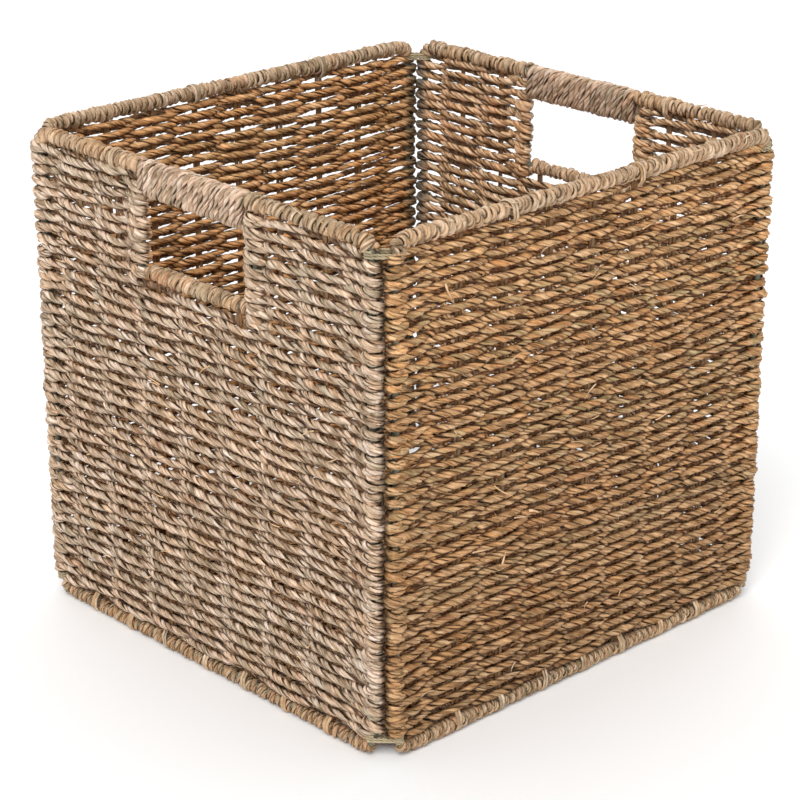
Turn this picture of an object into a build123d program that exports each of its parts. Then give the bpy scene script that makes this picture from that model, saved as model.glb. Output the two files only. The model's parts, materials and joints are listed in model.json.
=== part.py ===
"""Seagrass storage basket: four woven walls on wire frames, lashed together at the corners, and a
woven base flap tied to the left wall.  Millimetres, Z up.  X runs along the two walls that have
hand holes, -Y is the front, and the origin is the centre of the underside."""
import os

from build123d import *

# overall size
WIDTH = 320.0  # X, along the walls with hand holes
DEPTH = 330.0  # Y, along the plain walls
HEIGHT = 310.0
GAP = 0.3  # clearance between neighbouring pieces

# frame wire and what is wound on it
WIRE_R = 2.0
BORE_R = WIRE_R + GAP
WRAP_R = 5.0  # outer radius of every binding, and of the weave where it turns round a wire
CORNER_R = 9.0  # centre-line radius of each frame's corners
SIDE_STEP = 8.6  # offset in X and in Y between the side wires that meet at a corner
BIND_END = 1.0  # each binding stops this far short of the corner bend
FRAME_LOW = WRAP_R
FRAME_HIGH = HEIGHT - WRAP_R
FRONT_Y = DEPTH / 2 - WRAP_R  # centre planes of the walls
SIDE_X = WIDTH / 2 - WRAP_R
FRONT_HALF = SIDE_X - SIDE_STEP  # half the distance between a wall's two side wires
SIDE_HALF = FRONT_Y - SIDE_STEP

# woven panels
WEAVE_T = 9.0
SHOULDER = 6.0  # the weave steps in by this much beside the corner bends
TURN_FROM = 14.3  # the weave wraps the side wires from this far above and below the rims
STAKES = 7
FRONT_PITCH = 36.5
SIDE_PITCH = 35.0
STAKE_R = 1.5

# hand holes
HAND_HALF = 52.0  # half the distance between the hand hole's side wires
HAND_LOW = 242.0
HAND_HIGH = FRAME_HIGH - 13.0
HAND_CORNER_R = 5.0
GRIP_HALF = HAND_HALF - HAND_CORNER_R
HAND_BAR_HALF = 44.5
HAND_EDGE = GRIP_HALF + 0.5  # half width of the gap left in the weave

# corner lashings
LASH_BORE = 3.0
LASH_R = 4.8
LASH_H = 3.6
LASH_LOW = 10.4
LASH_IN = 0.35  # the lashings sit on the bends, this far in from the straight side wires

# base flap
BASE_T = 2 * WRAP_R
HINGE_X = -SIDE_X + 11.5
BASE_FAR_X = 141.0
BASE_HALF = 143.5
TIE_R = 4.2
TIE_H = 6.0
TIE_Y = (-90.0, -30.0, 30.0, 90.0)

# each wall's place: turn about Z, then centre of its plane
WALLS = {
    "front": (0, (0, -FRONT_Y, 0)),
    "right": (90, (SIDE_X, 0, 0)),
    "back": (180, (0, FRONT_Y, 0)),
    "left": (-90, (-SIDE_X, 0, 0)),
}
HAND_WALLS = ("front", "back")


def half_of(wall):
    """Half the distance between the side wires of a wall."""
    return FRONT_HALF if wall in HAND_WALLS else SIDE_HALF


def place(shape, wall):
    """Move a shape built in the XZ plane into its wall."""
    turn, centre = WALLS[wall]
    return Location(centre, (0, 0, turn)) * shape


def closed_wire(path, radius):
    """A round wire that follows a closed path."""
    start = Plane(origin=path @ 0, z_dir=path % 0)
    return sweep(start * Circle(radius), path=path)


def wall_path(half):
    """Centre line of a wall's frame, in the XZ plane."""
    middle = Pos(0, (FRAME_LOW + FRAME_HIGH) / 2)
    face = Plane.XZ * middle * RectangleRounded(2 * half, FRAME_HIGH - FRAME_LOW, CORNER_R)
    return face.face().outer_wire()


def hand_path():
    """Centre line of the wire ring that edges a hand hole, in the XZ plane."""
    middle = Pos(0, (HAND_LOW + HAND_HIGH) / 2)
    face = Plane.XZ * middle * RectangleRounded(2 * HAND_HALF, HAND_HIGH - HAND_LOW, HAND_CORNER_R)
    return face.face().outer_wire()


def base_path():
    """Centre line of the base's frame."""
    middle = Pos((HINGE_X + BASE_FAR_X) / 2, 0, FRAME_LOW)
    face = middle * RectangleRounded(BASE_FAR_X - HINGE_X, 2 * BASE_HALF, CORNER_R)
    return face.face().outer_wire()


def binding(x0, x1, z):
    """A strand wound on a straight wire that runs along X, as a tube."""
    ring = Plane.YZ * (Circle(WRAP_R) - Circle(BORE_R))
    return Pos(x0, 0, z) * extrude(ring, amount=x1 - x0)


def spans(low, high, cuts, half_cut):
    """The lengths of low..high that are left between cuts."""
    edges = [low]
    for middle in cuts:
        edges += [middle - half_cut - GAP, middle + half_cut + GAP]
    edges.append(high)
    return list(zip(edges[::2], edges[1::2]))


def stake_positions(wall):
    """Distances of the stakes from the middle of a wall."""
    pitch = FRONT_PITCH if wall in HAND_WALLS else SIDE_PITCH
    return [(i - (STAKES - 1) / 2) * pitch for i in range(STAKES)]


def stake_span(wall, x):
    """Lowest and highest point of the stake at x: some end under the hand hole."""
    low = FRAME_LOW + WRAP_R + 2 * GAP
    under_hand = wall in HAND_WALLS and abs(x) < HAND_BAR_HALF
    top = HAND_LOW if under_hand else FRAME_HIGH
    return low, top - WRAP_R - 2 * GAP


def rod(x, low, high, radius):
    """An upright rod."""
    return Pos(x, 0, (low + high) / 2) * Cylinder(radius, high - low)


def wall_stakes(wall):
    """The stakes of one wall."""
    rods = [rod(x, *stake_span(wall, x), STAKE_R) for x in stake_positions(wall)]
    return place(Compound(children=rods), wall)


def woven_plate(half, low, high):
    """A woven panel that turns round the two side wires and steps in beside the corner bends."""
    z = (low + high) / 2
    turn_low = TURN_FROM
    turn_high = HEIGHT - TURN_FROM
    plate = Pos(0, 0, z) * Box(2 * (half - SHOULDER), WEAVE_T, high - low)
    plate += Pos(0, 0, z) * Box(2 * half, WEAVE_T, turn_high - turn_low)
    for side in (-1, 1):
        plate += rod(side * half, turn_low, turn_high, WRAP_R)
    return plate


def hand_cut():
    """The gap left in the weave for a hand hole, its grip and its lower bar."""
    low = HAND_LOW + WRAP_R + GAP
    tall = HEIGHT - low
    cut = Pos(0, 0, low + tall / 2) * Box(2 * HAND_EDGE, 3 * WRAP_R, tall)
    cut += Pos(0, 0, HAND_LOW) * Box(2 * (HAND_BAR_HALF + GAP), 3 * WRAP_R, 2 * (WRAP_R + GAP))
    return cut


def wall_weave(wall):
    """The woven rope of one wall, with channels for the wires and stakes inside it."""
    half = half_of(wall)
    low = FRAME_LOW + WRAP_R + GAP
    weave = woven_plate(half, low, HEIGHT - low)
    weave -= closed_wire(wall_path(half), BORE_R)
    if wall in HAND_WALLS:
        weave -= hand_cut()
        weave -= closed_wire(hand_path(), BORE_R)
    for x in stake_positions(wall):
        bottom, top = stake_span(wall, x)
        weave -= rod(x, bottom - 1, top + 1, STAKE_R + GAP)
    return place(weave, wall)


def wall_frame(wall):
    """The wire frame of one wall."""
    return place(closed_wire(wall_path(half_of(wall)), WIRE_R), wall)


def bottom_binding(wall):
    """The binding on a wall's bottom wire; the left one leaves gaps for the hinge ties."""
    end = half_of(wall) - CORNER_R - BIND_END
    cuts = TIE_Y if wall == "left" else ()
    pieces = [binding(a, b, FRAME_LOW) for a, b in spans(-end, end, cuts, TIE_H / 2)]
    return place(Compound(children=pieces), wall)


def plain_top_binding(wall):
    """The binding on the top wire of a wall without a hand hole."""
    end = half_of(wall) - CORNER_R - BIND_END
    return place(binding(-end, end, FRAME_HIGH), wall)


def hand_top_binding(wall, side):
    """The binding on one side of a grip, from the grip to the corner."""
    end = half_of(wall) - CORNER_R - BIND_END
    a, b = sorted((side * HAND_EDGE, side * end))
    return place(binding(a, b, FRAME_HIGH), wall)


def hand_grip(wall):
    """The grip: one strand wound round the rim wire and the top of the hand hole's ring."""
    apart = FRAME_HIGH - HAND_HIGH
    outer = SlotCenterToCenter(apart, 2 * WRAP_R, rotation=90)
    inner = SlotCenterToCenter(apart, 2 * BORE_R, rotation=90)
    grip = extrude(Plane.YZ * (outer - inner), amount=GRIP_HALF, both=True)
    return place(Pos(0, 0, (FRAME_HIGH + HAND_HIGH) / 2) * grip, wall)


def lashing(x_side, y_side, low):
    """A twine lashing round the two side wires that meet at a corner."""
    x = (FRONT_HALF - LASH_IN + SIDE_X) / 2
    y = (SIDE_HALF - LASH_IN + FRONT_Y) / 2
    apart = (SIDE_X - FRONT_HALF + LASH_IN) * 2**0.5
    turn = 45 if x_side * y_side < 0 else -45
    outer = SlotCenterToCenter(apart, 2 * LASH_R)
    inner = SlotCenterToCenter(apart, 2 * LASH_BORE)
    band = extrude(outer - inner, amount=LASH_H)
    return Location((x_side * x, y_side * y, low), (0, 0, turn)) * band


def hinge_ties():
    """Twine rings that tie the base's hinge wire to the left wall's bottom wire."""
    apart = HINGE_X + SIDE_X
    outer = SlotCenterToCenter(apart, 2 * TIE_R)
    inner = SlotCenterToCenter(apart, 2 * BORE_R)
    band = extrude(Plane.XZ * (outer - inner), amount=TIE_H / 2, both=True)
    middle = (HINGE_X - SIDE_X) / 2
    return Compound(children=[Pos(middle, y, FRAME_LOW) * band for y in TIE_Y])


def along_base(x0, x1, y, radius):
    """A rod that runs along X inside the base."""
    return Pos((x0 + x1) / 2, y, FRAME_LOW) * Rot(0, 90, 0) * Cylinder(radius, x1 - x0)


def base_stake_positions():
    """Distances of the base's stakes from its middle line."""
    return [(i - (STAKES - 1) / 2) * SIDE_PITCH for i in range(STAKES)]


def base_span(inset):
    """The base's extent in X, between its two bindings, less an inset."""
    return HINGE_X + WRAP_R + inset, BASE_FAR_X - WRAP_R - inset


def base_stakes():
    """The stakes of the base."""
    x0, x1 = base_span(2 * GAP)
    return Compound(children=[along_base(x0, x1, y, STAKE_R) for y in base_stake_positions()])


def base_weave():
    """The woven rope of the base."""
    x0, x1 = base_span(GAP)
    t0 = HINGE_X - FRAME_LOW + TURN_FROM
    t1 = BASE_FAR_X + FRAME_LOW - TURN_FROM
    plate = Pos((x0 + x1) / 2, 0, FRAME_LOW) * Box(x1 - x0, 2 * (BASE_HALF - SHOULDER), BASE_T)
    plate += Pos((t0 + t1) / 2, 0, FRAME_LOW) * Box(t1 - t0, 2 * BASE_HALF, BASE_T)
    for side in (-1, 1):
        plate += along_base(t0, t1, side * BASE_HALF, WRAP_R)
    plate -= closed_wire(base_path(), BORE_R)
    for y in base_stake_positions():
        plate -= along_base(x0 - 1, x1 + 1, y, STAKE_R + GAP)
    return plate


def base_binding(x, cuts):
    """The binding on one of the base's two edges that run along Y."""
    end = BASE_HALF - CORNER_R - BIND_END
    pieces = [binding(a, b, FRAME_LOW) for a, b in spans(-end, end, cuts, TIE_H / 2)]
    return Location((x, 0, 0), (0, 0, 90)) * Compound(children=pieces)


def wall_nodes(wall):
    """Every piece of one wall, by name."""
    nodes = {
        f"{wall}_frame": wall_frame(wall),
        f"{wall}_stakes": wall_stakes(wall),
        f"{wall}_weave": wall_weave(wall),
        f"{wall}_bottom_binding": bottom_binding(wall),
    }
    if wall in HAND_WALLS:
        nodes[f"{wall}_hand_frame"] = place(closed_wire(hand_path(), WIRE_R), wall)
        nodes[f"{wall}_hand_bar_binding"] = place(binding(-HAND_BAR_HALF, HAND_BAR_HALF, HAND_LOW), wall)
        nodes[f"{wall}_hand_grip"] = hand_grip(wall)
        nodes[f"{wall}_top_binding_1"] = hand_top_binding(wall, -1)
        nodes[f"{wall}_top_binding_2"] = hand_top_binding(wall, 1)
    else:
        nodes[f"{wall}_top_binding"] = plain_top_binding(wall)
    return nodes


def lashing_nodes():
    """The eight corner lashings, by name."""
    nodes = {}
    for y_name, y_side in (("front", -1), ("back", 1)):
        for x_name, x_side in (("left", -1), ("right", 1)):
            for z_name, low in (("low", LASH_LOW), ("high", HEIGHT - LASH_LOW - LASH_H)):
                nodes[f"lashing_{y_name}_{x_name}_{z_name}"] = lashing(x_side, y_side, low)
    return nodes


def base_nodes():
    """The base flap and its hinge ties, by name."""
    return {
        "base_frame": closed_wire(base_path(), WIRE_R),
        "base_stakes": base_stakes(),
        "base_weave": base_weave(),
        "base_hinge_binding": base_binding(HINGE_X, TIE_Y),
        "base_far_binding": base_binding(BASE_FAR_X, ()),
        "hinge_ties": hinge_ties(),
    }


def main():
    """Build every piece and write one STEP file for each."""
    nodes = {}
    for wall in WALLS:
        nodes |= wall_nodes(wall)
    nodes |= lashing_nodes()
    nodes |= base_nodes()
    os.makedirs("parts", exist_ok=True)
    for name, shape in nodes.items():
        export_step(shape, f"parts/{name}.step")


main()
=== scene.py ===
"""The looks of a seagrass storage basket: woven walls, wound rims and grips, lashings and base."""
import json
import math

import bpy
import numpy as np
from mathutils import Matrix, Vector

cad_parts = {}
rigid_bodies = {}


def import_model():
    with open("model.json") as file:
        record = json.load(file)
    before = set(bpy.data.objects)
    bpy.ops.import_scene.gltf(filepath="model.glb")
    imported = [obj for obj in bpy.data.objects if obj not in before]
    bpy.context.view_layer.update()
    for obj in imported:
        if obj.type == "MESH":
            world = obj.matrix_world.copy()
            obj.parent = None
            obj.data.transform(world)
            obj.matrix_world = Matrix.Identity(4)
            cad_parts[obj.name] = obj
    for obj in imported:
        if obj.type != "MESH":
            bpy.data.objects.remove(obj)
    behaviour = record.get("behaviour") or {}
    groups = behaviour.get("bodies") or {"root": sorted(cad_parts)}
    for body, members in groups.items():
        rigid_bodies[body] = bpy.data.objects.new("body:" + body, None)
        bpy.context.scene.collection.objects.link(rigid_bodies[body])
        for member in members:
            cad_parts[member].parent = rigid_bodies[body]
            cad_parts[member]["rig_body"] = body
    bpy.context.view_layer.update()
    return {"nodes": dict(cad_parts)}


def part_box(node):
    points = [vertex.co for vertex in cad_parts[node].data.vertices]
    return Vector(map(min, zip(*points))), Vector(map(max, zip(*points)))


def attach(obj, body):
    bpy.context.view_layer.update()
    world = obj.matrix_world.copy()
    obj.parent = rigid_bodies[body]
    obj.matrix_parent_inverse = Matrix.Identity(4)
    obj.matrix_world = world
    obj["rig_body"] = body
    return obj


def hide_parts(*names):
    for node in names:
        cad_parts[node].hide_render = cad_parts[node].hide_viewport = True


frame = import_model()

TAU = 2 * math.pi
MM = 0.001

# woven rope
ROW_PITCH = 3.65 * MM
ROPE_R = 2.25 * MM  # each rope is two plies of two leaves, twisted together
LEFT_ROPE_R = 2.18 * MM
ROPE_LAY = 22.5 * MM  # length of one full twist
ROPE_STEP = 1.85 * MM
SWING = 2.15 * MM  # how far a rope stands out in front of a stake, or behind it
TURN_R = 3.5 * MM  # the rope's distance from the side wire that it turns round
NEAR_REACH = 5.1 * MM  # the same, sideways, on the front and right walls
FAR_REACH = 4.5 * MM  # and on the other panels
GATHER = 1.9 * MM  # how far the two rows of a turn pull together, beside it
GATHER_SPAN = 22.0 * MM
ROWS_PER_PIECE = 18
STAKES = 7
LEAF_SIDES = 6  # sides of a leaf's section
SELVEDGE = 7.0 * MM  # the strip beside a side wire that is painted darker inside the basket: painted shade in its corners
SELVEDGE_PAINTED_SHADE = 0.65
TONE_HEIGHT = 0.155  # a panel's own tone holds here, and painted light may make it lighter above
ROW_INSET = 2.2 * MM  # from the bindings to the first and last rows
ROW_SHIFT = 0.55 * MM  # how much a row's height varies from stake to stake
ROW_JITTER = 0.35 * MM  # and between them
ROW_RIPPLES = (1.1 * MM, 0.7 * MM)  # slow waves that neighbouring rows share
LASHING_ROOM = 5.5 * MM  # rows beside a lashing turn this far short of the side wire
BASE_SWING = 2.35 * MM
BASE_ROPE_R = 2.4 * MM
STRIP_HALF = 1.5 * MM
STRIP_THICK = 0.6 * MM

# a leaf in a rope, in parts of the rope's radius
LEAF_SPREAD = 1.3  # radians between the two leaves of a ply
LEAF_OFFSET = 0.54
LEAF_THICK = 0.44
LEAF_WIDE = 0.60

FLOOR_GAP = 0.05 * MM  # the lowest strands are pressed flat this far above the ground
FLOOR_DROP = 0.4 * MM  # and the stage's floor lies this far below it
LOOSE_ENDS = 46  # fine frayed ends to try on each wall

# the larger loose leaf ends on the right wall: where they are across and up, as parts of the wall,
# then length in mm, heading, curl, lift in mm and half width in mm
BIG_STRAWS = (
    (-0.78, 0.90, 9, -1.45, 0.4, 1.6, 0.75),
    (-0.52, 0.47, 17, -0.80, 0.3, 2.2, 0.5),
    (-0.33, 0.39, 7, -0.10, -0.5, 2.0, 0.9),
    (-0.63, 0.35, 14, -0.12, 0.1, 2.4, 0.6),
    (-0.47, 0.30, 8, 1.35, 0.3, 2.0, 0.8),
)

# wound strands
RIM_R = 5.0 * MM
RIM_PITCH = 5.3 * MM
RIM_ROPE_R = 2.4 * MM
RIM_LAY = 17.0 * MM
FOOT_R = 4.4 * MM  # the bottom bindings are finer
FOOT_PITCH = 4.5 * MM
FOOT_ROPE_R = 1.75 * MM
FOOT_DROP = 0.5 * MM
FOOT_COVER = math.radians(58)  # how much of a bend they cover
WOUND_STEP = 1.3 * MM
GRIP_PITCH = 4.7 * MM
GRIP_ROPE_R = 2.15 * MM
GRIP_LAY = 17.0 * MM
GRIP_STEP = 1.4 * MM
BEND_R = 9.0 * MM  # the frames' corners
BEND_COVER = math.radians(70)  # how much of a bend the other bindings cover
WHOLE_WIRE = [(None, None)]  # one binding that goes on round both of a wire's bends
TWINE_R = 0.85 * MM
TWINE_LAY = 6.0 * MM
TWINE_TURNS = 3
LASHING_PITCH = 1.55 * MM
LASHING_BORE = 2.8 * MM  # from a wire's middle to the inside of the twine
TIES = 4
TIE_PITCH = 1.9 * MM
TIE_BORE = 2.3 * MM
TIE_GAP = 3.4 * MM  # half the gap in a binding for a tie

# camera
EYE = (1.0512, -0.9944, 0.7035)
EYE_AZIMUTH = math.radians(46.646)
EYE_ELEVATION = math.radians(21.593)
LENS = 111.86

# colours, linear
STRAW = np.array((0.70, 0.50, 0.32))
TAN = np.array((0.60, 0.36, 0.175))
SAGE = np.array((0.50, 0.418, 0.25))
RUST = np.array((0.50, 0.17, 0.05))
UMBER = np.array((0.14, 0.065, 0.022))
PALE = np.array((0.80, 0.68, 0.52))
TWINE_GREEN = np.array((0.50, 0.41, 0.26))
INSIDE_PAINTED_LIGHT = np.array((1.25, 1.06, 0.86))  # painted light: the sheltered inner face is painted lighter and more golden
DARKENING = np.array((1.0, 1.17, 1.45))  # darker fibres and the painted shade in the rope's grooves are browner, lighter fibres greyer
DEEP_PAINTED_SHADE = np.array((0.15, 0.085, 0.038))  # painted shade: between the rows, deep in the weave, the leaves are painted darker and browner
# each wall's tone, partly its own colour and partly painted light: the front is painted paler and cooler,
# the right warmer
TONES_AND_PAINTED_LIGHT = {
    "front": (1.015, 1.035, 1.15),
    "right": (0.895, 0.735, 0.55),
    "left": (1.03, 0.955, 0.835),
    "back": (0.945, 1.00, 1.125),
}
# 0 is sage, a half is straw and 1 is tan; a second number says how far it drifts
MIXES = {"front": (0.55, 0.28), "right": (0.62, 0.60), "back": (0.55, 0.4), "left": (0.60, 0.5)}
RIM_MIX = (0.62, 0.3)
GRIP_MIX = 0.5
STRIP_MIX = 0.75
BASE_STRIP_MIX = 0.7
BASE_MIX = 0.6
PAINTED_LIGHT_LIFTS = {"right": 1.3, "front": 0.5}  # painted light: how much lighter a wall is painted a metre further up
STRIP_PAINTED_SHADE = np.array((0.36, 0.29, 0.22))  # painted shade: the stakes lie deep in the weave and are painted darker
RIM_TONE = np.array((0.92, 0.88, 0.86))
GRIP_TONE = np.array((1.03, 1.02, 1.14))
FOOT_TONE = np.array((0.82, 0.77, 0.72))


# ---- small numeric helpers ------------------------------------------------------------------

def unit(vectors):
    """Vectors at unit length."""
    return vectors / np.maximum(np.linalg.norm(vectors, axis=-1, keepdims=True), 1e-12)


def smooth(x, low, high):
    """0 below low, 1 above high, and a smooth step between."""
    x = np.clip((x - low) / (high - low), 0, 1)
    return x * x * (3 - 2 * x)


def resample(points, step):
    """Evenly spaced points along a polyline, and how far along it each one is."""
    gaps = np.linalg.norm(np.diff(points, axis=0), axis=1)
    along = np.concatenate(([0.0], np.cumsum(gaps)))
    count = max(4, int(round(along[-1] / step)) + 1)
    at = np.linspace(0, along[-1], count)
    return np.stack([np.interp(at, along, points[:, i]) for i in range(3)], axis=1), at


def wander(rng, at, wavelength):
    """Smooth random values between -1 and 1 along the distances at."""
    knots = rng.uniform(-1, 1, int(at[-1] / wavelength) + 4)
    x = at / wavelength + rng.uniform()
    i = x.astype(int)
    f = x - i
    f = f * f * (3 - 2 * f)
    return knots[i] * (1 - f) + knots[i + 1] * f


def axes_along(points, up):
    """For each point of a path: two directions across it, the first one nearest to up."""
    tangent = unit(np.gradient(points, axis=0))
    first = unit(up - np.sum(up * tangent, axis=1, keepdims=True) * tangent)
    return first, np.cross(tangent, first)


# ---- strands: many tubes collected into one mesh ---------------------------------------------

class Strands:
    """Tubes that become one mesh, each with its colour and the direction of its fibres."""

    def __init__(self, seed):
        self.rng = np.random.default_rng(seed)
        self.points = []
        self.tints = []
        self.grains = []
        self.faces = []
        self.uvs = []
        self.caps = []
        self.count = 0

    def tube(self, centre, out, side, at, tint, sides=8, ridges=0.09):
        """One closed tube: out and side are the half axes of its oval section at each centre."""
        rings = len(centre)
        angle = np.arange(sides) * TAU / sides
        crease = self.rng.uniform(0, TAU, 2)
        drift = np.stack([wander(self.rng, at, 0.03) for _ in range(2)])
        shape = 1 + ridges * np.cos(3 * angle + crease[0] + 2.5 * drift[0][:, None])
        shape += 0.6 * ridges * np.cos(4 * angle + crease[1] + 3.0 * drift[1][:, None])
        c = (np.cos(angle) * shape)[..., None]
        s = (np.sin(angle) * shape)[..., None]
        points = centre[:, None] + c * out[:, None] + s * side[:, None]
        width = np.linalg.norm(out, axis=1).mean() + np.linalg.norm(side, axis=1).mean()
        grain = np.empty(points.shape)
        grain[..., 0] = at[:, None] + self.rng.uniform(0, 9)
        grain[..., 1] = np.cos(angle) * width / 2
        grain[..., 2] = np.sin(angle) * width / 2 + self.rng.uniform(0, 0.5)
        self.points.append(points.reshape(-1, 3))
        self.tints.append(np.clip(tint, 0, 1).reshape(-1, 3))
        self.grains.append(grain.reshape(-1, 3))
        ring = np.arange(rings - 1)[:, None] * sides
        a = np.arange(sides)
        b = (a + 1) % sides
        quads = np.stack([ring + a, ring + b, ring + sides + b, ring + sides + a], axis=-1)
        self.faces.append(self.count + quads.reshape(-1, 4))
        self.caps.append(self.count + a[::-1])
        self.caps.append(self.count + (rings - 1) * sides + a)
        self.uvs.append((rings - 1, sides))
        self.count += rings * sides

    def mesh(self, name):
        """The mesh, pressed flat by the floor, with strip UVs so that a baked texture has no overlaps."""
        points = np.concatenate(self.points)
        points[:, 2] = np.maximum(points[:, 2], FLOOR_GAP)
        quads = np.concatenate(self.faces)
        mesh = bpy.data.meshes.new(name)
        caps = np.concatenate(self.caps)
        cap_sizes = np.array([len(c) for c in self.caps])
        loops = np.concatenate([quads.ravel(), caps])
        cap_starts = 4 * len(quads) + np.cumsum(cap_sizes) - cap_sizes
        starts = np.concatenate([np.arange(len(quads)) * 4, cap_starts])
        mesh.vertices.add(len(points))
        mesh.vertices.foreach_set("co", points.astype(np.float32).ravel())
        mesh.loops.add(len(loops))
        mesh.loops.foreach_set("vertex_index", loops.astype(np.int32))
        mesh.polygons.add(len(starts))
        mesh.polygons.foreach_set("loop_start", starts.astype(np.int32))
        mesh.update(calc_edges=True)
        mesh.polygons.foreach_set("use_smooth", np.ones(len(starts), bool))
        tints = np.concatenate(self.tints)
        rgba = np.concatenate([tints, np.ones((len(tints), 1))], axis=1).astype(np.float32)
        mesh.attributes.new("tint", "FLOAT_COLOR", "POINT").data.foreach_set("color", rgba.ravel())
        grains = np.concatenate(self.grains).astype(np.float32)
        mesh.attributes.new("grain", "FLOAT_VECTOR", "POINT").data.foreach_set("vector", grains.ravel())
        uv = np.concatenate([self.strip_uvs(), np.zeros((len(caps), 2))]).astype(np.float32)
        mesh.uv_layers.new(name="OFBake").data.foreach_set("uv", uv.ravel())
        mesh.update()
        return mesh

    def strip_uvs(self):
        """UVs that lay every tube out flat and stack its lengths as strips."""
        total = sum(rings for rings, _ in self.uvs)
        per_strip = max(8, int(math.sqrt(total * 4.5)))
        strips = sum(-(-rings // per_strip) for rings, _ in self.uvs)
        out = []
        first = 0
        for rings, sides in self.uvs:
            i = np.arange(rings)
            column = (i % per_strip)[:, None] / (per_strip + 1)
            row = (first + i // per_strip)[:, None]
            a = np.arange(sides)
            low = (row + 0.06 + 0.88 * a / sides) / strips
            high = (row + 0.06 + 0.88 * (a + 1) / sides) / strips
            left = column + 0 * low
            right = left + 0.98 / (per_strip + 1)
            quad = np.stack([left, low, left, high, right, high, right, low], axis=-1)
            out.append(quad.reshape(-1, 2))
            first += -(-rings // per_strip)
        return np.concatenate(out)


def fibre_tint(rng, at, base_mix, patchy=1.0):
    """Colour along one strand: slow drifts between straw, tan and sage, and pale, dark or rusty patches."""
    middle_mix, spread = base_mix if isinstance(base_mix, tuple) else (base_mix, 0.5)
    slow = wander(rng, at, 2.0)
    middle = wander(rng, at, 0.22)
    quick = wander(rng, at, 0.012)
    hue = np.clip(middle_mix + spread * slow + 0.24 * middle + 0.15 * quick, 0, 1)[:, None]
    tint = np.where(hue < 0.5, SAGE + (STRAW - SAGE) * hue * 2, STRAW + (TAN - STRAW) * (hue * 2 - 1))
    rust = smooth(wander(rng, at, 0.035), 0.62, 0.92) * smooth(wander(rng, at, 0.4), 0.0, 0.7) * patchy
    umber = smooth(wander(rng, at, 0.016), 0.62, 0.95) * smooth(wander(rng, at, 0.3), -0.2, 0.7) * patchy
    pale = smooth(wander(rng, at, 0.020), 0.35, 0.95)
    tint = tint + (RUST - tint) * (0.70 * rust)[:, None]
    tint = tint + (UMBER - tint) * (0.50 * umber)[:, None]
    tint = tint + (PALE - tint) * (0.50 * pale)[:, None]
    mottle = rng.uniform(-1, 1, len(at) + 1)
    mottle = (mottle[1:] + mottle[:-1]) / 2
    shade = 1 + 0.20 * quick + 0.12 * middle + 0.06 * slow + 0.26 * mottle
    return tint * shade[:, None] ** DARKENING * (1, 1.02, 1.05)


def lay_rope(strands, points, up, radius, lay, step, mix, panel=None, bright=1.0):
    """Two plies of two leaves each, twisted right-handed along a path, with painted shade in the grooves
    between them.
    The colour of a panel's rope also follows its depth in the weave, with the panel's painted shade and
    light."""
    rng = strands.rng
    points, at = resample(points, step)
    first, second = axes_along(points, up)
    turn = TAU * at / lay + 1.5 * wander(rng, at, 0.05)
    girth = radius * (1 + 0.10 * wander(rng, at, 0.16) + 0.06 * wander(rng, at, 0.05))[:, None]
    groove = np.cos(np.arange(LEAF_SIDES) * TAU / LEAF_SIDES)[None, :, None]
    shared = [fibre_tint(rng, at, mix) for _ in range(2)]
    for leaf in range(4):
        ply = leaf % 2
        angle = turn + ply * math.pi + (leaf // 2 - 0.5) * LEAF_SPREAD + 0.36 * wander(rng, at, 0.018)
        angle = angle[:, None]
        out = np.cos(angle) * first + np.sin(angle) * second
        side = np.cos(angle) * second - np.sin(angle) * first
        fat = (1 + 0.22 * wander(rng, at, 0.022) + 0.20 * wander(rng, at, 0.007))[:, None]
        centre = points + out * girth * (LEAF_OFFSET + 0.14 * wander(rng, at, 0.010)[:, None])
        tint = 0.55 * shared[ply] + 0.45 * fibre_tint(rng, at, mix)
        # painted shade: each leaf's inner side, in the grooves of the rope, is painted darker and browner
        tint = bright * tint[:, None] * (0.24 + 0.76 * smooth(groove, -0.6, 0.4)) ** DARKENING
        if panel is not None:
            tint = tint * panel.shade(centre, centre[:, None] + groove * out[:, None] * radius * 0.46)
        thick = out * girth * LEAF_THICK * fat
        wide = side * girth * LEAF_WIDE * fat
        strands.tube(centre, thick, wide, at, tint, LEAF_SIDES, 0.20)


def wind_strand(strands, path, plane_normal, radius, pitch, rope_r, mix, tone):
    """A twisted strand wound closely on a wire that follows a path in a plane."""
    rng = strands.rng
    wire, along = resample(path, 0.3 * MM)
    count = max(12, int(along[-1] / pitch * 18))
    at = np.linspace(0, along[-1], count)
    angle = TAU * at / pitch + 0.7 * wander(rng, at, 0.02)
    slide = at + 0.22 * pitch * np.sin(angle + 0.6) + 0.24 * pitch * wander(rng, at, pitch * 0.8)
    slide = np.clip(slide, 0, along[-1])
    centre = np.stack([np.interp(slide, along, wire[:, i]) for i in range(3)], axis=1)
    ahead = unit(np.gradient(wire, axis=0))
    ahead = unit(np.stack([np.interp(slide, along, ahead[:, i]) for i in range(3)], axis=1))
    flat = np.cross(plane_normal, ahead)
    spoke = np.cos(angle)[:, None] * flat + np.sin(angle)[:, None] * plane_normal
    lift = radius - rope_r + 0.16 * rope_r * wander(rng, at, 1.3 * pitch)[:, None]
    up = unit(wire[-1] - wire[0])
    lay = RIM_LAY * rope_r / RIM_ROPE_R
    lay_rope(strands, centre + spoke * lift, up, rope_r * 1.1, lay, WOUND_STEP, mix, None, tone)


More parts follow.
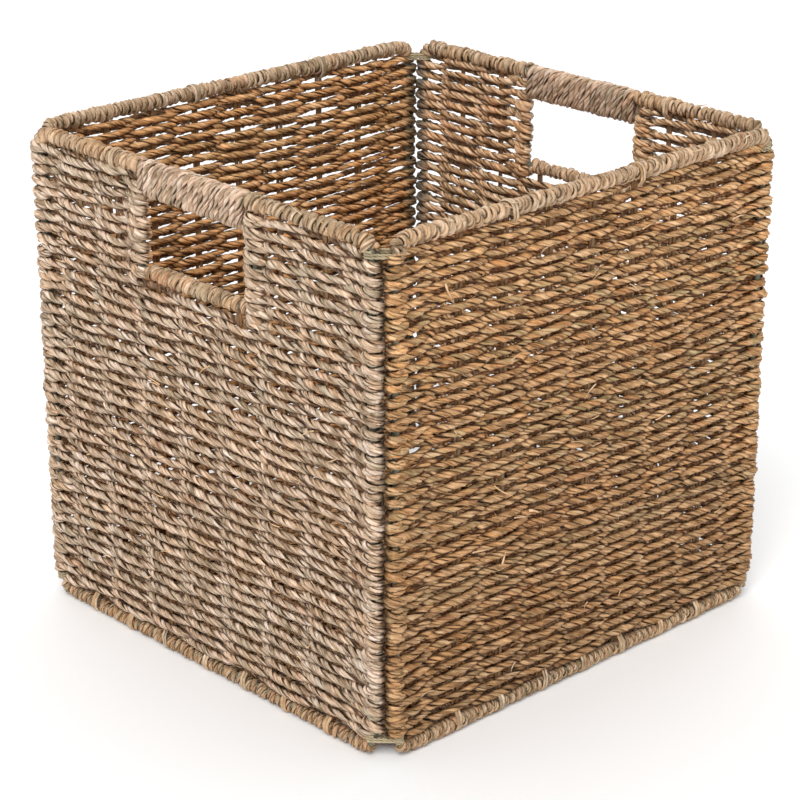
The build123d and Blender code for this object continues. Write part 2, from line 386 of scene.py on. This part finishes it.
def flat_strip(strands, points, face, half_width, half_thick, mix, step=2.5 * MM):
    """A flat strip of seagrass along a path, with its flat side towards face."""
    rng = strands.rng
    points, at = resample(points, step)
    across, _ = axes_along(points, face)
    tangent = unit(np.gradient(points, axis=0))
    side = np.cross(tangent, across)
    fat = (1 + 0.15 * wander(rng, at, 0.02))[:, None]
    # the strip is painted darker: painted shade deep in the weave
    tint = fibre_tint(rng, at, mix, 0.4)[:, None] * np.ones((1, LEAF_SIDES, 1)) * STRIP_PAINTED_SHADE
    strands.tube(points, across * half_thick * fat, side * half_width * fat, at, tint, LEAF_SIDES, 0.05)


# ---- panels ------------------------------------------------------------------------------------

class Panel:
    """A woven panel's own axes: along its rows, up its stakes, and out through its outer face."""

    def __init__(self, name, along, up, seed):
        self.name = name
        self.body = frame["nodes"][name + "_frame"]["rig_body"]
        self.along = np.array(along, float)
        self.up = np.array(up, float)
        self.out = np.cross(self.along, self.up)
        self.seed = seed
        low, high = (np.array(c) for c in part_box(name + "_frame"))
        middle = (low + high) / 2
        spans = high - low
        self.wire_r = abs(spans @ np.abs(self.out)) / 2
        self.half = spans @ np.abs(self.along) / 2 - self.wire_r
        reach = spans @ np.abs(self.up) / 2 - self.wire_r
        self.origin = middle - self.up * (middle @ self.up)
        self.low = middle @ self.up - reach
        self.high = middle @ self.up + reach
        slow, shigh = (np.array(c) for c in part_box(name + "_stakes"))
        spread = (shigh - slow) @ np.abs(self.along)
        thick = (shigh - slow) @ np.abs(self.out)
        pitch = (spread - thick) / (STAKES - 1)
        self.stakes = [(i - (STAKES - 1) / 2) * pitch for i in range(STAKES)]
        self.tone = np.array(TONES_AND_PAINTED_LIGHT.get(name, (1, 1, 1)))
        self.lift = PAINTED_LIGHT_LIFTS.get(name, 0.0)
        self.turn_reach = NEAR_REACH if name in ("front", "right") else FAR_REACH
        self.hand = None
        if name + "_hand_frame" in frame["nodes"]:
            hlow, hhigh = (np.array(c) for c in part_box(name + "_hand_frame"))
            half = (hhigh - hlow) @ np.abs(self.along) / 2 - self.wire_r
            self.hand = (half, hlow[2] + self.wire_r, hhigh[2] - self.wire_r)

    def at(self, u, v, w):
        """Points of the frame from the panel's own coordinates."""
        u, v, w = np.broadcast_arrays(np.asarray(u, float), v, w)
        spread = u[..., None] * self.along + v[..., None] * self.up + w[..., None] * self.out
        return self.origin + spread

    def side_wire(self, v):
        """How far out the side wire is at height v, where the frame's corners bend."""
        over = max(0.0, BEND_R - min(v - self.low, self.high - v))
        return self.half - BEND_R + math.sqrt(max(0.0, BEND_R**2 - over**2))

    def end_half(self, v):
        """Where the rows at height v turn: at the side wire, or short of it beside a lashing."""
        beside = min(v - self.low, self.high - v) < BEND_R + 0.2 * MM
        return self.side_wire(v) - (LASHING_ROOM if beside else 0.0)

    def shade(self, centre, surface):
        """What the rope's colour is multiplied by, from its centre line and its surface: painted shade,
        darker and browner, deep inside the panel, painted light that makes the sheltered face lighter and
        golden, painted shade beside the side wires there, and painted light higher up."""
        depth = (surface - self.origin) @ self.out
        # how far a surface lies on the inner face, which gets painted light and, beside the side wires,
        # painted shade
        inward = smooth(-depth, -0.5 * SWING, 0.8 * SWING)[..., None]
        across = np.abs((centre - self.origin) @ self.along)
        edge = smooth(across, self.half - SELVEDGE, self.half)[:, None, None]
        height = (centre - self.origin) @ self.up
        # painted light: higher up, the wall is painted lighter
        lighter = (1 + self.lift * (height - TONE_HEIGHT))[:, None, None]
        # painted shade: the inner face is painted darker beside the side wires, in the basket's corners
        shade = (1 - SELVEDGE_PAINTED_SHADE * edge * inward) * lighter
        inward = inward * (1 - edge)
        # painted shade: leaves deep in the weave, between the rows, are painted darker, a little less on
        # the inner face
        deep = 1 - smooth(np.abs(depth), 0.06 * SWING, 0.70 * SWING)[..., None]
        deep = deep * (1 - 0.22 * inward)
        # painted light on the inner face, painted shade deep in the weave, and the wall's tone with its
        # painted light
        return shade * (1 + (INSIDE_PAINTED_LIGHT - 1) * inward) * (1 + (DEEP_PAINTED_SHADE - 1) * deep) * self.tone

    def rows(self):
        """Heights of the rows."""
        first = self.low + RIM_R + ROW_INSET
        last = self.high - RIM_R - ROW_INSET
        count = int(round((last - first) / ROW_PITCH)) + 1
        return np.linspace(first, last, count)


def woven_path(panel, rows, first, reach_of, swing, following=None):
    """One rope's path to and fro through rows, round the supports that reach_of gives for a height.
    Support i has the rope in front of it in the even rows when i is even, and behind it otherwise.
    The rope goes round its last wire too where there is a following row."""
    rng = np.random.default_rng(panel.seed + first)
    pieces = []
    for k, v in enumerate(rows):
        row = first + k
        supports, parity = reach_of(v)
        u = []
        w = []
        shift = rng.normal(0, ROW_SHIFT, len(supports))
        shifts = []
        for i in range(len(supports) - 1):
            t = np.linspace(0, 1, 17)[:-1]
            c = np.cos(math.pi * t)
            sign = 1 if (row + parity + i) % 2 == 0 else -1
            u.append(supports[i] + (supports[i + 1] - supports[i]) * t)
            w.append(sign * swing * np.sign(c) * np.abs(c) ** 0.8)
            shifts.append(shift[i] + (shift[i + 1] - shift[i]) * smooth(t, 0, 1))
        last_sign = 1 if (row + parity + len(supports) - 1) % 2 == 0 else -1
        u = np.concatenate(u + [[supports[-1]]])
        w = np.concatenate(w + [[last_sign * swing]])
        shifts = np.concatenate(shifts + [[shift[-1]]])
        slow, quick = ROW_RIPPLES
        ripple = slow * np.sin(u * 19 + v * 9 + panel.seed) + quick * np.sin(u * 41 - v * 23)
        ripple = ripple * smooth(min(v - panel.low, panel.high - v) - RIM_R, 0, 0.03)
        jitter = ROW_JITTER * wander(rng, np.abs(u - u[0]) + 1e-6, 0.025)
        height = v + ripple + jitter + shifts + gathered(panel, row, u)
        if row % 2:
            u, w, height = u[::-1], w[::-1], height[::-1]
        pieces.append(np.stack([u, height, w], axis=1))
        after = rows[k + 1] if k + 1 < len(rows) else following
        if after is not None:
            way = -1 if row % 2 else 1
            reach = panel.turn_reach
            pieces.append(turn_round(u[-1], way, np.sign(w[-1]), height[-1], after, reach, rng))
    path = np.concatenate(pieces)
    return panel.at(path[:, 0], path[:, 1], path[:, 2])


def gathered(panel, row, u):
    """How far a row is pulled up or down beside its two turns, towards the row that it turns into."""
    def beside(pair, distance):
        pull = 0.55 + 0.45 * math.sin(2.4 * pair + 1.7 * panel.seed)
        return pull * np.sin(math.pi * np.clip(distance / GATHER_SPAN, 0, 1)) ** 2
    way = -1 if row % 2 else 1
    return way * GATHER * (beside(row // 2, u[-1] - u) - beside((row + 1) // 2 + 0.5, u - u[0]))


def turn_round(u, way, sign, low, high, reach, rng):
    """One and a half turns round the wire at u, from the row at low to the next one."""
    t = np.linspace(0, 1, 26)[1:-1]
    angle = sign * (math.pi / 2 - 3 * math.pi * t)
    loose = 1 + 0.13 * rng.uniform(-1, 1) + 0.10 * np.sin(TAU * t + rng.uniform(0, TAU))
    sway = 0.8 * MM * np.sin(angle + rng.uniform(0, TAU)) * np.sin(math.pi * t)
    across = u + way * reach * loose * np.cos(angle)
    return np.stack([across, low + (high - low) * t + sway, TURN_R * loose * np.sin(angle)], axis=1)


def supports_full(panel):
    """A row's supports from one side wire to the other."""
    def reach(v):
        end = panel.end_half(v)
        return [-end] + panel.stakes + [end], 0
    return reach


def supports_beside_hand(panel, side):
    """A row's supports from a side wire to the hand hole's wire."""
    def reach(v):
        end = panel.end_half(v)
        edge = panel.hand[0]
        outer = [s for s in panel.stakes if abs(s) > edge]
        if side < 0:
            return [-end] + [s for s in outer if s < 0] + [-edge], 0
        return [edge] + [s for s in outer if s > 0] + [end], STAKES - 2
    return reach


def add_piece(name, strands, body, material, nodes):
    """A finished piece: its mesh, its material, its body and the CAD nodes that it stands for."""
    piece = bpy.data.objects.new(name, strands.mesh(name))
    bpy.context.scene.collection.objects.link(piece)
    piece.data.materials.append(material)
    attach(piece, body)
    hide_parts(*nodes)
    return piece


def weave(panel, material, mix, swing=SWING, radius=ROPE_R):
    """The woven rope of a panel, in pieces of a few dozen rows."""
    rows = panel.rows()
    full = rows if panel.hand is None else rows[rows < panel.hand[1] - RIM_R - 1.5 * MM]
    node = panel.name + "_weave"
    pieces = max(1, math.ceil(len(full) / ROWS_PER_PIECE))
    bounds = [round(i * len(full) / pieces) for i in range(pieces + 1)]
    for i in range(pieces):
        strands = Strands(panel.seed * 10 + i)
        a, b = bounds[i], bounds[i + 1]
        following = rows[b] if b < len(rows) else None
        path = woven_path(panel, full[a:b], a, supports_full(panel), swing, following)
        lay_rope(strands, path, panel.up, radius, ROPE_LAY, ROPE_STEP, mix, panel)
        add_piece(f"{panel.name}_rope_{i + 1}", strands, panel.body, material, [node])
    if panel.hand is not None:
        strands = Strands(panel.seed * 10 + 9)
        for side in (-1, 1):
            path = woven_path(panel, rows[len(full):], len(full), supports_beside_hand(panel, side), swing)
            lay_rope(strands, path, panel.up, radius, ROPE_LAY, ROPE_STEP, mix, panel)
        add_piece(f"{panel.name}_rope_by_hand", strands, panel.body, material, [node])


def stake_strips(panel, material, mix, stitched=True):
    """The stakes: pairs of flat strips between the ropes; when stitched, each is looped over the bottom rim
    and some over the top rim as well.
    """
    strands = Strands(panel.seed * 10 + 5)
    rng = strands.rng
    top = panel.high - RIM_R
    bottom = panel.low + RIM_R
    for number, u in enumerate(panel.stakes):
        under_hand = panel.hand is not None and abs(u) < panel.hand[0]
        end = panel.hand[1] - RIM_R if under_hand else top
        for side in (-1, 1):
            v = np.linspace(bottom - 1 * MM, end + 1 * MM, 60)
            wave = 0.4 * MM * np.sin(v * 150 + u * 90 + side)
            points = panel.at(u + side * 1.05 * MM + wave, v, 0.35 * MM * side)
            flat_strip(strands, points, panel.out, STRIP_HALF, STRIP_THICK, mix)
        if not stitched:
            continue
        stitch(strands, panel, u, panel.low, 1, mix, rng)
        if not under_hand and number % 3 == 1:
            stitch(strands, panel, u + rng.uniform(-2, 2) * MM, panel.high, -1, mix, rng)
    if stitched:
        loose_ends(strands, panel, mix)
    name = panel.name + "_stake_strips"
    add_piece(name, strands, panel.body, material, [panel.name + "_stakes"])


def stitch(strands, panel, u, rim, way, mix, rng):
    """The end of a stake, looped over a rim and tucked back into the weave."""
    lift = (FOOT_R if way > 0 else RIM_R) + 0.3 * MM
    depth = rng.uniform(7, 9) * MM
    lean = rng.uniform(-2.5, 2.5) * MM
    t = np.linspace(0, math.pi, 15)
    for side in (-1, 1):
        u0 = u + side * 1.1 * MM
        over_u = u0 + lean * np.cos(t) * 0.4
        over = np.stack([over_u, rim - way * lift * np.sin(t), lift * np.cos(t)], axis=1)
        tucked = rim + way * depth
        halfway = rim + way * depth * 0.5
        start = [[u0 + lean, tucked, SWING], [u0 + 0.7 * lean, halfway, lift]]
        finish = [[u0 - 0.7 * lean, halfway, -lift], [u0 - lean, tucked, -SWING]]
        path = np.concatenate([start, over, finish])
        points = panel.at(path[:, 0], path[:, 1], path[:, 2])
        points, at = resample(points, 1.2 * MM)
        spoke = unit(points - panel.at(u0, rim + way * 2 * MM, 0.0))
        tangent = unit(np.gradient(points, axis=0))
        spoke = unit(spoke - np.sum(spoke * tangent, axis=1, keepdims=True) * tangent)
        width = np.cross(tangent, spoke)
        tint = fibre_tint(strands.rng, at, mix, 0.4)[:, None] * np.ones((1, LEAF_SIDES, 1))
        strands.tube(points, spoke * 0.5 * MM, width * 1.0 * MM, at, 0.8 * tint, LEAF_SIDES, 0.08)


def loose_ends(strands, panel, mix):
    """Frayed leaf ends that stand out a little from the outer face and the top rim."""
    rng = strands.rng
    for number in range(LOOSE_ENDS):
        on_rim = number % 9 == 0
        u = rng.uniform(-0.88, 0.88) * panel.half
        v = panel.high + RIM_R * 0.7 if on_rim else rng.uniform(panel.low + 0.02, panel.high - 0.02)
        if panel.hand is not None and abs(u) < panel.hand[0] + 0.02 and v > panel.hand[1] - 0.015:
            continue
        length = rng.uniform(5, 13) * MM
        heading = rng.uniform(-0.5, 0.5) + (math.pi if rng.uniform() < 0.5 else 0)
        curl = rng.uniform(-0.8, 0.8)
        lift = rng.uniform(0.8, 3.0) * MM
        thick = rng.uniform(0.25, 0.5) * MM
        straw(strands, panel, (u, v), length, heading, curl, lift, thick, mix)
    if panel.name == "right":
        tall = panel.high - panel.low
        for across, level, length, heading, curl, lift, thick in BIG_STRAWS:
            root = (across * panel.half, panel.low + level * tall)
            straw(strands, panel, root, length * MM, heading, curl, lift * MM, thick * MM, mix)
    elif panel.name == "front":
        root = (0.052, panel.hand[1] - 6 * MM)
        straw(strands, panel, root, 8 * MM, -0.5, 0.4, 1.8 * MM, 0.9 * MM, mix)


def straw(strands, panel, root, length, heading, curl, lift, thick, mix):
    """One leaf end: it leaves the weave at root and lifts off the face."""
    t = np.linspace(0, 1, 9)
    angle = heading + curl * t
    step = length / 8
    u = root[0] + np.concatenate([[0], np.cumsum(np.cos(angle[1:]) * step)])
    v = root[1] + np.concatenate([[0], np.cumsum(np.sin(angle[1:]) * step)])
    points = panel.at(u, v, 0.8 * SWING + 1.6 * MM + lift * t**1.5)
    across, _ = axes_along(points, panel.out)
    side = np.cross(unit(np.gradient(points, axis=0)), across)
    taper = (1 - 0.75 * t**2)[:, None]
    at = t * length
    tint = 1.15 * fibre_tint(strands.rng, at, mix, 0.3)[:, None] * np.ones((1, LEAF_SIDES, 1))
    strands.tube(points, across * thick * 0.6 * taper, side * thick * taper, at, tint, LEAF_SIDES, 0.05)


def rim_path(panel, v, ends, cover):
    """The line of a rim wire at height v between two ends, carried on round a bend where an end is None."""
    way = 1 if v > (panel.low + panel.high) / 2 else -1
    straight = panel.half - BEND_R
    turn = np.linspace(0, cover, 12)
    u = []
    for side, end in zip((-1, 1), ends):
        if end is None:
            bend_u = side * (straight + BEND_R * np.sin(turn))
            bend_v = v - way * BEND_R * (1 - np.cos(turn))
            bend = np.stack([bend_u, bend_v], axis=1)
        else:
            bend = np.array([[end, v]])
        u.append(bend[::-1] if side < 0 else bend)
    line = np.concatenate(u)
    return panel.at(line[:, 0], line[:, 1], 0.0)


def binding_piece(name, panel, v, all_ends, material, mix, nodes, seed):
    """A binding on one rim wire, in one or more lengths.  The walls' bottom wires have a finer one."""
    strands = Strands(seed)
    foot = panel.body == "walls" and v == panel.low
    radius, pitch, rope_r = (FOOT_R, FOOT_PITCH, FOOT_ROPE_R) if foot else (RIM_R, RIM_PITCH, RIM_ROPE_R)
    for ends in all_ends:
        path = rim_path(panel, v, ends, FOOT_COVER if foot else BEND_COVER)
        if foot:
            path[:, 2] -= FOOT_DROP
        wind_strand(strands, path, panel.out, radius, pitch, rope_r, mix, FOOT_TONE if foot else RIM_TONE)
    add_piece(name, strands, panel.body, material, nodes)


def tie_gaps():
    """The middles of the hinge ties, in Y, and half the gap that each one needs."""
    low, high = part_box("hinge_ties")
    tie_low, tie_high = low[1] + 3 * MM, high[1] - 3 * MM
    return np.linspace(tie_low, tie_high, TIES), TIE_GAP


def tied_ends(panel):
    """The lengths of binding between the hinge ties, along a panel's rows."""
    middles, gap = tie_gaps()
    middles = np.sort(middles * panel.along[1])
    ends = [None]
    for m in middles:
        ends += [m - gap, m + gap]
    ends.append(None)
    return list(zip(ends[::2], ends[1::2]))


def grip(panel, material, mix):
    """The grip: rope wound closely round the rim wire and the top wire of the hand hole."""
    strands = Strands(panel.seed * 10 + 7)
    _, _, hand_top = panel.hand
    apart = panel.high - hand_top
    middle = (panel.high + hand_top) / 2
    radius = RIM_R - GRIP_ROPE_R
    low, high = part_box(panel.name + "_hand_grip")
    half = (high[0] - low[0]) / 2 + 1.0 * MM
    turns = int(round(2 * half / GRIP_PITCH))
    straight = np.linspace(-0.5, 0.5, 8)[:-1] * apart
    arc = np.linspace(0, math.pi, 10)[:-1]
    rise = apart / 2 + radius * np.sin(arc)
    over = radius * np.cos(arc)
    level = radius + 0 * straight
    loop_v = np.concatenate([straight, rise, -straight, -rise])
    loop_w = np.concatenate([level, over, -level, -over])
    count = len(loop_v)
    v = np.tile(loop_v, turns)
    w = np.tile(loop_w, turns)
    u = -half + GRIP_ROPE_R + (2 * half - 2 * GRIP_ROPE_R) * np.arange(turns * count) / (turns * count)
    rng = strands.rng
    loose = wander(rng, np.arange(len(u)) * MM, 0.03)
    u = u + 0.5 * MM * loose
    w = w * (1 + 0.05 * wander(rng, np.arange(len(u)) * MM, 0.02))
    points = panel.at(u, middle + v, w)
    lay_rope(strands, points, panel.along, GRIP_ROPE_R * 1.12, GRIP_LAY, GRIP_STEP, mix, None, GRIP_TONE)
    name = panel.name + "_grip_rope"
    add_piece(name, strands, panel.body, material, [panel.name + "_hand_grip"])


def twine_ring(strands, a, b, axis, turns, pitch, bore):
    """Twine wound round two parallel wires at a and b, along axis."""
    a, b, axis = (np.array(x, float) for x in (a, b, axis))
    toward = unit(b - a)
    aside = np.cross(axis, toward)
    radius = bore + TWINE_R
    arc = np.linspace(-math.pi / 2, math.pi / 2, 14)
    ring = []
    for end, sign in ((b, 1), (a, -1)):
        ring += [end + sign * radius * (math.cos(t) * toward + math.sin(t) * aside) for t in arc]
    ring = np.array(ring)
    points = np.tile(ring, (turns, 1))
    rise = (np.arange(len(points)) / len(ring) - turns / 2) * pitch
    points = points + rise[:, None] * axis
    lay_twine(strands, points, axis)


def lay_twine(strands, points, up):
    """Fine two-ply twine of a pale greenish straw colour."""
    rng = strands.rng
    points, at = resample(points, 0.8 * MM)
    first, second = axes_along(points, up)
    for ply in range(2):
        angle = (TAU * at / TWINE_LAY + ply * math.pi)[:, None]
        out = np.cos(angle) * first + np.sin(angle) * second
        side = np.cos(angle) * second - np.sin(angle) * first
        tone = (1 + 0.25 * wander(rng, at, 0.01))[:, None, None] * np.ones((1, LEAF_SIDES, 1))
        thick = out * TWINE_R * 0.55
        wide = side * TWINE_R * 0.68
        strands.tube(points + out * TWINE_R * 0.45, thick, wide, at, TWINE_GREEN * tone, LEAF_SIDES, 0.05)


def lashing_pieces(material):
    """The twine lashings at the corners."""
    for y_name, y_side in (("front", -1), ("back", 1)):
        for x_name, x_side in (("left", -1), ("right", 1)):
            for level in ("low", "high"):
                name = f"lashing_{y_name}_{x_name}_{level}"
                low, high = (np.array(c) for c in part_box(name))
                inset = (high[2] - low[2]) / 2 + 3.0 * MM
                z = (low[2] + high[2]) / 2
                near = np.minimum(np.abs(low), np.abs(high)) + inset
                far = np.maximum(np.abs(low), np.abs(high)) - inset
                a = (x_side * near[0], y_side * far[1], z)
                b = (x_side * far[0], y_side * near[1], z)
                strands = Strands(hash_of(name))
                twine_ring(strands, a, b, (0, 0, 1), TWINE_TURNS, LASHING_PITCH, LASHING_BORE)
                add_piece(name + "_twine", strands, "walls", material, [name])


def hash_of(name):
    """A fixed seed from a name."""
    return sum((i + 1) * ord(c) for i, c in enumerate(name))


def hinge_tie_piece(material):
    """The four twine ties that hold the base's hinge wire to the left wall's bottom wire."""
    strands = Strands(77)
    low, high = (np.array(c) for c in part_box("hinge_ties"))
    inset = (high[2] - low[2]) / 2
    z = (low[2] + high[2]) / 2
    for y in tie_gaps()[0]:
        a = (low[0] + inset, y, z)
        b = (high[0] - inset, y, z)
        twine_ring(strands, a, b, (0, 1, 0), TWINE_TURNS, TIE_PITCH, TIE_BORE)
    add_piece("hinge_tie_twine", strands, "walls", material, ["hinge_ties"])


# ---- materials ---------------------------------------------------------------------------------

def seagrass(name, streak=0.68, bump=0.95, rough=0.52, fine=1.0):
    """Dry seagrass: the strand's own colour, streaked and ridged along its fibres."""
    material = bpy.data.materials.new(name)
    material.use_nodes = True
    tree = material.node_tree
    link = tree.links.new
    shader = tree.nodes["Principled BSDF"]
    tint = tree.nodes.new("ShaderNodeAttribute")
    tint.attribute_name = "tint"
    grain = tree.nodes.new("ShaderNodeAttribute")
    grain.attribute_name = "grain"
    fibres, leaf, hair = (
        noise_along(tree, grain, (along, across * fine, across * fine), detail)
        for along, across, detail in ((140, 1000, 3.0), (75, 420, 2.0), (90, 3200, 1.0))
    )
    half_leaf = math_node(tree, "MULTIPLY", leaf, 0.5)
    mixed = math_node(tree, "ADD", math_node(tree, "MULTIPLY", fibres, 0.5), half_leaf)
    spread = tree.nodes.new("ShaderNodeMapRange")
    link(mixed, spread.inputs["Value"])
    spread.inputs["From Min"].default_value = 0.38
    spread.inputs["From Max"].default_value = 0.565
    spread.inputs["To Min"].default_value = 1.08 - streak
    spread.inputs["To Max"].default_value = 1.05 + 0.27 * streak
    browner = tree.nodes.new("ShaderNodeCombineXYZ")
    for socket, power in zip(browner.inputs, DARKENING):
        link(math_node(tree, "POWER", spread.outputs["Result"], float(power)), socket)
    shade = tree.nodes.new("ShaderNodeVectorMath")
    shade.operation = "MULTIPLY"
    link(tint.outputs["Color"], shade.inputs[0])
    link(browner.outputs["Vector"], shade.inputs[1])
    link(shade.outputs["Vector"], shader.inputs["Base Color"])
    fine_hair = math_node(tree, "MULTIPLY", hair, 0.4)
    height = math_node(tree, "ADD", fibres, math_node(tree, "ADD", leaf, fine_hair))
    ridge = tree.nodes.new("ShaderNodeBump")
    ridge.inputs["Strength"].default_value = bump
    ridge.inputs["Distance"].default_value = 0.8 * MM
    link(height, ridge.inputs["Height"])
    link(ridge.outputs["Normal"], shader.inputs["Normal"])
    gloss = tree.nodes.new("ShaderNodeMapRange")
    link(fibres, gloss.inputs["Value"])
    gloss.inputs["To Min"].default_value = rough + 0.16
    gloss.inputs["To Max"].default_value = rough - 0.16
    link(gloss.outputs["Result"], shader.inputs["Roughness"])
    shader.inputs["Specular IOR Level"].default_value = 0.35
    return material


def noise_along(tree, grain, scale, detail):
    """Noise stretched along the fibres."""
    stretch = tree.nodes.new("ShaderNodeVectorMath")
    stretch.operation = "MULTIPLY"
    tree.links.new(grain.outputs["Vector"], stretch.inputs[0])
    stretch.inputs[1].default_value = scale
    noise = tree.nodes.new("ShaderNodeTexNoise")
    noise.inputs["Scale"].default_value = 1.0
    noise.inputs["Detail"].default_value = detail
    noise.inputs["Roughness"].default_value = 0.6
    tree.links.new(stretch.outputs["Vector"], noise.inputs["Vector"])
    return noise.outputs["Fac"]


def math_node(tree, operation, a, b):
    """A math node on two sockets or numbers."""
    node = tree.nodes.new("ShaderNodeMath")
    node.operation = operation
    for value, socket in zip((a, b), node.inputs):
        if isinstance(value, (int, float)):
            socket.default_value = value
        else:
            tree.links.new(value, socket)
    return node.outputs[0]


def coated_wire():
    """Dull grey-green coating on the frame wire, scuffed here and there."""
    material = bpy.data.materials.new("coated_wire")
    material.use_nodes = True
    tree = material.node_tree
    shader = tree.nodes["Principled BSDF"]
    where = tree.nodes.new("ShaderNodeTexCoord")
    noise = tree.nodes.new("ShaderNodeTexNoise")
    noise.inputs["Scale"].default_value = 260
    noise.inputs["Detail"].default_value = 4
    tree.links.new(where.outputs["Object"], noise.inputs["Vector"])
    ramp = tree.nodes.new("ShaderNodeValToRGB")
    ramp.color_ramp.elements[0].position = 0.35
    ramp.color_ramp.elements[0].color = (0.10, 0.105, 0.075, 1)
    ramp.color_ramp.elements[1].position = 0.7
    ramp.color_ramp.elements[1].color = (0.235, 0.235, 0.175, 1)
    tree.links.new(noise.outputs["Fac"], ramp.inputs["Fac"])
    tree.links.new(ramp.outputs["Color"], shader.inputs["Base Color"])
    bump = tree.nodes.new("ShaderNodeBump")
    bump.inputs["Strength"].default_value = 0.25
    bump.inputs["Distance"].default_value = 0.2 * MM
    tree.links.new(noise.outputs["Fac"], bump.inputs["Height"])
    tree.links.new(bump.outputs["Normal"], shader.inputs["Normal"])
    shader.inputs["Roughness"].default_value = 0.5
    return material


# ---- stage ---------------------------------------------------------------------------------------

def studio():
    """A pale floor, a pale surround and soft lights."""
    bpy.ops.mesh.primitive_plane_add(size=8)
    floor = bpy.context.object
    floor.name = "floor"
    paper = bpy.data.materials.new("paper")
    paper.use_nodes = True
    shader = paper.node_tree.nodes["Principled BSDF"]
    shader.inputs["Base Color"].default_value = (0.92, 0.925, 0.93, 1)
    shader.inputs["Roughness"].default_value = 0.9
    floor.data.materials.append(paper)
    floor.location.z = -FLOOR_DROP
    world = bpy.data.worlds.new("studio")
    bpy.context.scene.world = world
    world.use_nodes = True
    world.node_tree.nodes["Background"].inputs["Color"].default_value = (1, 1, 1, 1)
    world.node_tree.nodes["Background"].inputs["Strength"].default_value = 0.78
    soft_sun("key_light", (0.38, -0.56, 0.736), 1.72, 34, (1.0, 0.99, 0.975))
    soft_sun("fill_light", (-0.55, 0.5, 0.67), 0.6, 60, (0.98, 0.99, 1.0))
    bpy.context.scene.view_settings.view_transform = "Standard"


def soft_sun(name, toward, strength, spread, colour):
    """A distant broad light that shines from a direction."""
    light = bpy.data.lights.new(name, "SUN")
    light.energy = strength
    light.angle = math.radians(spread)
    light.color = colour
    lamp = bpy.data.objects.new(name, light)
    lamp.rotation_euler = Vector(toward).to_track_quat("Z", "Y").to_euler()
    bpy.context.scene.collection.objects.link(lamp)


def camera():
    """A long lens from the right front, a little above the rim."""
    data = bpy.data.cameras.new("camera")
    data.lens = LENS
    data.sensor_width = 36
    data.clip_end = 20
    eye = bpy.data.objects.new("camera", data)
    eye.location = EYE
    eye.rotation_euler = (math.pi / 2 - EYE_ELEVATION, 0, EYE_AZIMUTH)
    bpy.context.scene.collection.objects.link(eye)
    bpy.context.scene.camera = eye


# ---- the basket ----------------------------------------------------------------------------------

def build():
    """Every piece of the basket."""
    rope = seagrass("seagrass_rope")
    strand = seagrass("seagrass_strand", streak=0.58, bump=0.8, rough=0.54)
    strip = seagrass("seagrass_strip", streak=0.30, bump=0.4, rough=0.66)
    twine = seagrass("grass_twine", streak=0.22, bump=0.4, rough=0.75, fine=2.0)
    wire = coated_wire()
    z = (0, 0, 1)
    walls = {
        "front": Panel("front", (1, 0, 0), z, 1),
        "right": Panel("right", (0, 1, 0), z, 2),
        "back": Panel("back", (-1, 0, 0), z, 3),
        "left": Panel("left", (0, -1, 0), z, 4),
    }
    for name, panel in walls.items():
        weave(panel, rope, MIXES[name], radius=LEFT_ROPE_R if name == "left" else ROPE_R)
        stake_strips(panel, strip, STRIP_MIX)
        bottom = tied_ends(panel) if name == "left" else WHOLE_WIRE
        mix = RIM_MIX
        node = name + "_bottom_binding"
        seed = panel.seed * 10 + 6
        binding_piece(node + "_strand", panel, panel.low, bottom, strand, mix, [node], seed)
        if panel.hand is None:
            node = name + "_top_binding"
            seed = panel.seed * 10 + 8
            binding_piece(node + "_strand", panel, panel.high, WHOLE_WIRE, strand, mix, [node], seed)
        else:
            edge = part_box(name + "_hand_grip")[1][0] + 0.8 * MM
            spans = ((None, -edge), (edge, None))
            for number, ends in enumerate(spans, 1):
                node = f"{name}_top_binding_{number}"
                seed = panel.seed * 100 + number
                binding_piece(node + "_strand", panel, panel.high, [ends], strand, mix, [node], seed)
            grip(panel, strand, GRIP_MIX)
            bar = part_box(name + "_hand_bar_binding")[1][0]
            node = name + "_hand_bar_binding"
            seed = panel.seed + 40
            binding_piece(node + "_strand", panel, panel.hand[1], [(-bar, bar)], strand, mix, [node], seed)
    base = Panel("base", (0, 1, 0), (1, 0, 0), 6)
    weave(base, rope, BASE_MIX, swing=BASE_SWING, radius=BASE_ROPE_R)
    stake_strips(base, strip, BASE_STRIP_MIX, stitched=False)
    hinge = ["base_hinge_binding"]
    binding_piece("base_hinge_strand", base, base.low, tied_ends(base), strand, BASE_MIX, hinge, 61)
    far = ["base_far_binding"]
    binding_piece("base_far_strand", base, base.high, WHOLE_WIRE, strand, BASE_MIX, far, 62)
    lashing_pieces(twine)
    hinge_tie_piece(twine)
    for name, node in frame["nodes"].items():
        if name.endswith("_frame"):
            node.data.materials.clear()
            node.data.materials.append(wire)


build()
studio()
camera()
